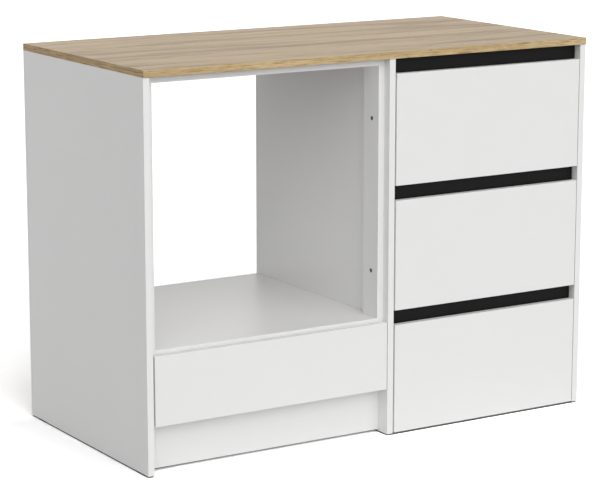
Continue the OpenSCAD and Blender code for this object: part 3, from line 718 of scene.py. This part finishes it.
def dowel(tree, sizes):
    """A fluted dowel with chamfered ends. Every fourth corner of its ring is a flute's floor."""
    r, length = sizes["Radius"], sizes["Length"]
    flutes = 14
    corner = tree.add("GeometryNodeInputIndex")
    wave = tree.maths("SINE", corner * (math.pi / 2))
    ring = tree.add("GeometryNodeSetPosition", None, {
        "Geometry": circle(tree, 4 * flutes),
        "Position": tree.add("ShaderNodeVectorMath", {"operation": "SCALE"}, {
            0: tree.add("GeometryNodeInputPosition"), "Scale": 0.97 + 0.03 * wave})})
    end = 0.35 * r
    return turned(tree, mirrored([(0.0, r - end), (end, r)], length), ring)


def roller(tree, sizes):
    """A nylon roller: rounded tread, a hub with its bore, and a sunk web on either side."""
    r, width, bore = sizes["Radius"], sizes["Length"], sizes["Bore Radius"]
    body = turned(tree, mirrored(rounded_rim(r, 0.09 * r), width), circle(tree, 48))
    margin = 0.1 * width
    hole = turned(tree, [(-margin, bore), (width + margin, bore)], circle(tree, 32))
    sunk = []
    for low, high in [(-margin, 0.28 * width), (0.72 * width, width + margin)]:
        outer = turned(tree, [(low, 0.72 * r), (high, 0.72 * r)], circle(tree, 40))
        hub = turned(tree, [(low - margin, 0.46 * r), (high + margin, 0.46 * r)],
                     circle(tree, 32))
        sunk.append(without(tree, outer, hub))
    return without(tree, body, hole, *sunk)


def glide(tree, sizes):
    """A nail-on glide: a chamfered slab with round ends, and its pin."""
    half, height = sizes["Width"] / 2, sizes["Height"]
    edge = 0.15 * height
    disc = [(0.0, half - 2 * edge), (edge, half - 0.5 * edge), (2.5 * edge, half),
            (height - edge, half), (height, half - edge)]
    ends = [tree.add("GeometryNodeTransform", None, {
        "Geometry": turned(tree, disc, circle(tree, 32)),
        "Translation": tree.vector(sign * (sizes["Length"] / 2 - half), 0.0, 0.0)})
        for sign in (-1, 1)]
    slab = tree.add("GeometryNodeConvexHull", None, {
        0: tree.add("GeometryNodeJoinGeometry", None, {"Geometry": ends})})
    r, top = sizes["Pin Radius"], sizes["Pin Top"]
    pin = turned(tree, [(height / 2, r), (top - 2 * r, r), (top, 0.3 * r)], circle(tree, 20))
    return together(tree, slab, pin)


def placing_tree(shape, sizes, finish):
    """A tree that puts a shape on points, with Z along their direction and X to their side."""
    group = bpy.data.node_groups.new(shape.__name__, "GeometryNodeTree")
    group.interface.new_socket("Places", in_out="INPUT", socket_type="NodeSocketGeometry")
    for size in sizes:
        group.interface.new_socket(size, in_out="INPUT", socket_type="NodeSocketFloat")
    group.interface.new_socket("Geometry", in_out="OUTPUT", socket_type="NodeSocketGeometry")
    tree = Tree(group)
    given = {title: tree.add("NodeGroupInput", out=title) for title in ["Places", *sizes]}

    def attribute(title):
        return tree.add("GeometryNodeInputNamedAttribute", {"data_type": "FLOAT_VECTOR"}, {
            "Name": title})

    turn = tree.add("FunctionNodeAlignRotationToVector", {"axis": "Z"}, {
        "Vector": attribute("direction")})
    turn = tree.add("FunctionNodeAlignRotationToVector", {"axis": "X", "pivot_axis": "Z"}, {
        "Rotation": turn, "Vector": attribute("side")})
    copies = tree.add("GeometryNodeInstanceOnPoints", None, {
        "Points": given["Places"], "Instance": shape(tree, given), "Rotation": turn})
    plain = tree.add("GeometryNodeRealizeInstances", None, {"Geometry": copies})
    tree.add("NodeGroupOutput", None, {"Geometry": tree.add("GeometryNodeSetMaterial", None, {
        "Geometry": plain, "Material": finish})})
    return group


placing_trees = {}


def on_places(shape, finish, sizes, places):
    """The shape on each place, as one mesh object."""
    if (shape, finish) not in placing_trees:
        placing_trees[shape, finish] = placing_tree(shape, sizes, finish)
    mesh = bpy.data.meshes.new("places")
    mesh.from_pydata([place["start"] for place in places], [], [])
    for title in ("direction", "side"):
        values = mesh.attributes.new(title, "FLOAT_VECTOR", "POINT")
        values.data.foreach_set("vector", [c for place in places for c in place[title]])
    draft = new_object("draft", mesh)
    modifier = draft.modifiers.new("shape", "NODES")
    modifier.node_group = placing_trees[shape, finish]
    for socket in modifier.node_group.interface.items_tree:
        if socket.name in sizes:
            modifier[socket.identifier] = float(sizes[socket.name])
    return applied(draft, "copies")


def joined(name, parts, finish):
    """One object of several meshes, with smooth round faces and sharp edges."""
    shape = bmesh.new()
    for part in parts:
        shape.from_mesh(part.data)
        bpy.data.objects.remove(part)
    for face in shape.faces:
        face.smooth = True
    mesh = bpy.data.meshes.new(name)
    shape.to_mesh(mesh)
    shape.free()
    mesh.set_sharp_from_angle(angle=SHARP_ANGLE)
    mesh.materials.append(finish)
    return new_object(name, mesh)


def is_cam(one):
    return one["Length"] < 2 * one["Radius"] and one["Radius"] > LEAST_CAM_RADIUS


def kind_of(node, one):
    """The shape that makes a fitting, and the sizes that only this shape takes."""
    if node.endswith("rollers"):
        return roller, {"Bore Radius": ROLLER_BORE}
    if node == "dowels":
        return dowel, {}
    if is_cam(one):
        return cam_lock, {}
    if one["Head Height"] == 0:
        return cam_bolt, {"Thread Length": BOLT_THREAD}
    return screw, {title: one[title] for title in ("Shank Radius", "Head Height")}


def reach_for_cam(bolt, cams):
    """Turns a bolt so that its ball head lies in the nearest cam, and the cam's window to it."""
    cam = min(cams, key=lambda c: (c["middle"] - bolt["middle"]).length)
    if (cam["middle"] - bolt["middle"]).dot(bolt["direction"]) > 0:
        bolt["start"] = bolt["start"] + bolt["direction"] * bolt["Length"]
        bolt["direction"] = -bolt["direction"]
    cam["side"] = bolt["direction"]


def fittings(node, word, finish):
    """All the fittings of a node as one piece. Those of the same kind and size are placed
    together."""
    found = [measured(corners) for corners in solids(node)]
    cams = [one for one in found if is_cam(one)]
    for one in found:
        one["side"] = Vector((0, 0, 1)) if abs(one["direction"].z) < 0.5 else Vector((0, 1, 0))
    kinds = {}
    for one in found:
        shape, own = kind_of(node, one)
        if shape is cam_bolt:
            reach_for_cam(one, cams)
        own.update({title: one[title] for title in ("Length", "Radius")})
        key = tuple((title, round(own[title] / MM, 1)) for title in sorted(own))
        kinds.setdefault(key, (shape, own, []))[2].append(one)
    parts = [on_places(shape, finish, own, places) for shape, own, places in kinds.values()]
    return stand_in(joined(f"{node}_{word}", parts, finish), node)


fittings("cam_fittings", "zinc", zinc_plate)
fittings("assembly_screws", "steel", black_zinc)
fittings("runner_screws", "zinc", zinc_plate)
fittings("dowels", "beech", beech_wood)
for drawer in DRAWERS:
    fittings(drawer + "_fittings", "zinc", zinc_plate)
    fittings(drawer + "_rollers", "nylon", nylon)
    fittings(drawer + "_guide_rollers", "nylon", nylon)


def glide_places():
    """Places and sizes of the glides, whose pins stand on their slabs."""
    places = []
    for corners in solids("glides"):
        low = min(c.z for c in corners)
        middle = middle_of(corners)
        places.append({"start": Vector((middle.x, middle.y, low)), "direction": (0, 0, 1),
                       "side": (0, 1, 0)})
        off = [(abs(c.x - middle.x), abs(c.y - middle.y), c.z - low) for c in corners]
        sizes = {
            "Width": 2 * max(x for x, y, z in off),
            "Length": 2 * max(y for x, y, z in off),
            "Height": max(z for x, y, z in off if x > PIN_CLEARANCE),
            "Pin Top": max(z for x, y, z in off),
            "Pin Radius": PIN_RADIUS}
    return places, sizes


places, sizes = glide_places()
parts = [on_places(glide, black_plastic, sizes, places)]
stand_in(joined("glides_plastic", parts, black_plastic), "glides")


# Runners

SHEET_EDGE = 0.25 * MM              # radius of a pressed edge
SHEET_BEND = math.radians(60)       # edges that are sharper than this are rounded


def pressed_steel(node):
    """Runners of bent sheet: the CAD's shape with its edges rounded."""
    draft = new_object("draft", merged(node))
    bevel = draft.modifiers.new("edges", "BEVEL")
    bevel.width = SHEET_EDGE
    bevel.segments = 2
    bevel.limit_method = "ANGLE"
    bevel.angle_limit = SHEET_BEND
    steel = applied(draft, node + "_steel")
    stand_in(joined(node + "_steel", [steel], powder), node)


pressed_steel("cabinet_runners")
for drawer in DRAWERS:
    pressed_steel(drawer + "_runners")


# Studio

CAMERA_PLACE = (-2.870, -4.592, 1.515)
CAMERA_RIGHT = 31.81            # degrees that it is turned to the right
CAMERA_DOWN = 11.63             # degrees that it looks down
LENS_MM = 137.4

FLOOR_REACH = 30.0
OPEN_FLOOR = 1.9                # shows as white under these lamps
# Painted shadow: the floor under the boards takes this darker colour, beginning SHADOW_START
# behind the plinth's face
PAINTED_SHADOW_FLOOR = 0.32            # shows as the deep shadow under the boards
SHADOW_START = 17 * MM          # how far behind the plinth's face the floor is dark
# Strength and reach of the shadow painted on the floor along the left side
SIDE_SHADOW = 0.34
SIDE_SHADOW_REACH = 150 * MM

AMBIENT_LIGHT = 0.09
SOFT = 80
# Degrees round to the left from the front, degrees up, strength, and width in degrees
LAMPS = {
    "front_low": (0, 10, 1.15, SOFT),
    "front_high": (0, 40, 0.95, SOFT),
    "key": (35, 40, 0.83, 60),
    "left": (90, 25, 0.19, SOFT),
    "right": (-90, 25, 0.36, SOFT),
    "rear": (180, 30, 0.49, SOFT),
}


def background_rays(tree):
    """1 where a ray should see the white background: seen straight, in gloss or through glass."""
    path = "ShaderNodeLightPath"
    seen = tree.add(path, out="Is Camera Ray") + tree.add(path, out="Is Glossy Ray")
    return (seen + tree.add(path, out="Is Transmission Ray")).clamped()


def low_footprints():
    """The rectangles that the boards near the floor cover, each as its low and high corner. The
    floor's shadow is painted in them.
    """
    plinth_low, plinth_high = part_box("plinth")
    upright_low, upright_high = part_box("middle_upright")
    front, rear = upright_low[1], upright_high[1]
    return [
        ((plinth_low[0], plinth_low[1] + SHADOW_START), (plinth_high[0], rear)),
        ((upright_low[0], front), (frame_bounds[1][0], rear)),
        ((frame_bounds[0][0], front), (plinth_low[0], rear)),
    ]


def between(tree, place, low, high):
    """1 between two corners on the floor and 0 outside them."""
    inside = 1.0
    for axis in range(2):
        at = tree.part(place, axis)
        inside = inside * at.band(low[axis] - MM, low[axis] + MM)
        inside = inside * (1.0 - at.band(high[axis] - MM, high[axis] + MM))
    return inside


def shadow_of_side(tree, place):
    """A faint shadow painted on the floor along the left side."""
    left, front, rear = frame_bounds[0][0], frame_bounds[0][1], frame_bounds[1][1]
    reach = SIDE_SHADOW_REACH
    x, y = tree.part(place, 0), tree.part(place, 1)
    beside = x.band(left - 2 * reach, left) * (1.0 - x.band(left, left + reach))
    begun = y.band(front - reach, front + reach)
    ended = y.band(rear - reach / 3, rear + reach / 3)
    return SIDE_SHADOW * beside * begun * (1.0 - ended)


def studio_floor():
    """A pale floor that shows the background's white and the object's shadow: rendered on the open
    floor, painted under the boards and along the left side.
    """
    mesh = bpy.data.meshes.new("floor")
    corners = [(-1, -1), (1, -1), (1, 1), (-1, 1)]
    places = [(x * FLOOR_REACH, y * FLOOR_REACH, 0) for x, y in corners]
    mesh.from_pydata(places, [], [(0, 1, 2, 3)])
    floor = new_object("floor", mesh)
    material, tree, place = new_material("floor")
    lit = tree.add("ShaderNodeBsdfDiffuse", None, {"Color": srgb(210, 210, 210)})
    open_floor = tree.add("ShaderNodeBsdfDiffuse", None, {"Color": grey(OPEN_FLOOR)})
    painted_shadow_floor = tree.add("ShaderNodeBsdfDiffuse", None, {"Color": grey(PAINTED_SHADOW_FLOOR)})
    # Painted shadow: under the boards and along the left side the floor takes the darker colour
    painted_shadow = sum(between(tree, place, *corners) for corners in low_footprints())
    painted_shadow = painted_shadow + shadow_of_side(tree, place)
    shown = tree.add("ShaderNodeMixShader", None, {
        0: painted_shadow.clamped(), 1: open_floor, 2: painted_shadow_floor})
    both = tree.add("ShaderNodeMixShader", None, {0: background_rays(tree), 1: lit, 2: shown})
    tree.add("ShaderNodeOutputMaterial", None, {"Surface": both})
    mesh.materials.append(material)


def studio_world():
    """Even light from all round, in front of a white background."""
    world = bpy.data.worlds.new("studio")
    scene.world = world
    world.use_nodes = True
    world.node_tree.nodes.clear()
    tree = Tree(world.node_tree)
    ambient = tree.add("ShaderNodeBackground", None, {
        "Color": srgb(252, 254, 255), "Strength": AMBIENT_LIGHT})
    white = tree.add("ShaderNodeBackground", None, {
        "Color": srgb(255, 255, 255), "Strength": 1.0})
    both = tree.add("ShaderNodeMixShader", None, {0: background_rays(tree), 1: ambient, 2: white})
    tree.add("ShaderNodeOutputWorld", None, {"Surface": both})


def soft_lamp(name, round_left, height, strength, width):
    """A broad lamp far away, which shines on the whole object alike."""
    lamp = bpy.data.lights.new(name, "SUN")
    lamp.energy = strength
    lamp.angle = math.radians(width)
    made = new_object(name, lamp)
    made.rotation_euler = (math.radians(90 - height), 0, -math.radians(round_left))


def photo_camera():
    """The camera of the photograph: front left, a little above the worktop."""
    lens = bpy.data.cameras.new("camera")
    lens.lens = LENS_MM
    camera = new_object("camera", lens)
    camera.location = CAMERA_PLACE
    camera.rotation_euler = (math.radians(90 - CAMERA_DOWN), 0, -math.radians(CAMERA_RIGHT))
    scene.camera = camera


photo_camera()
studio_floor()
studio_world()
for name, settings in LAMPS.items():
    soft_lamp(name, *settings)
scene.view_settings.view_transform = "Standard"
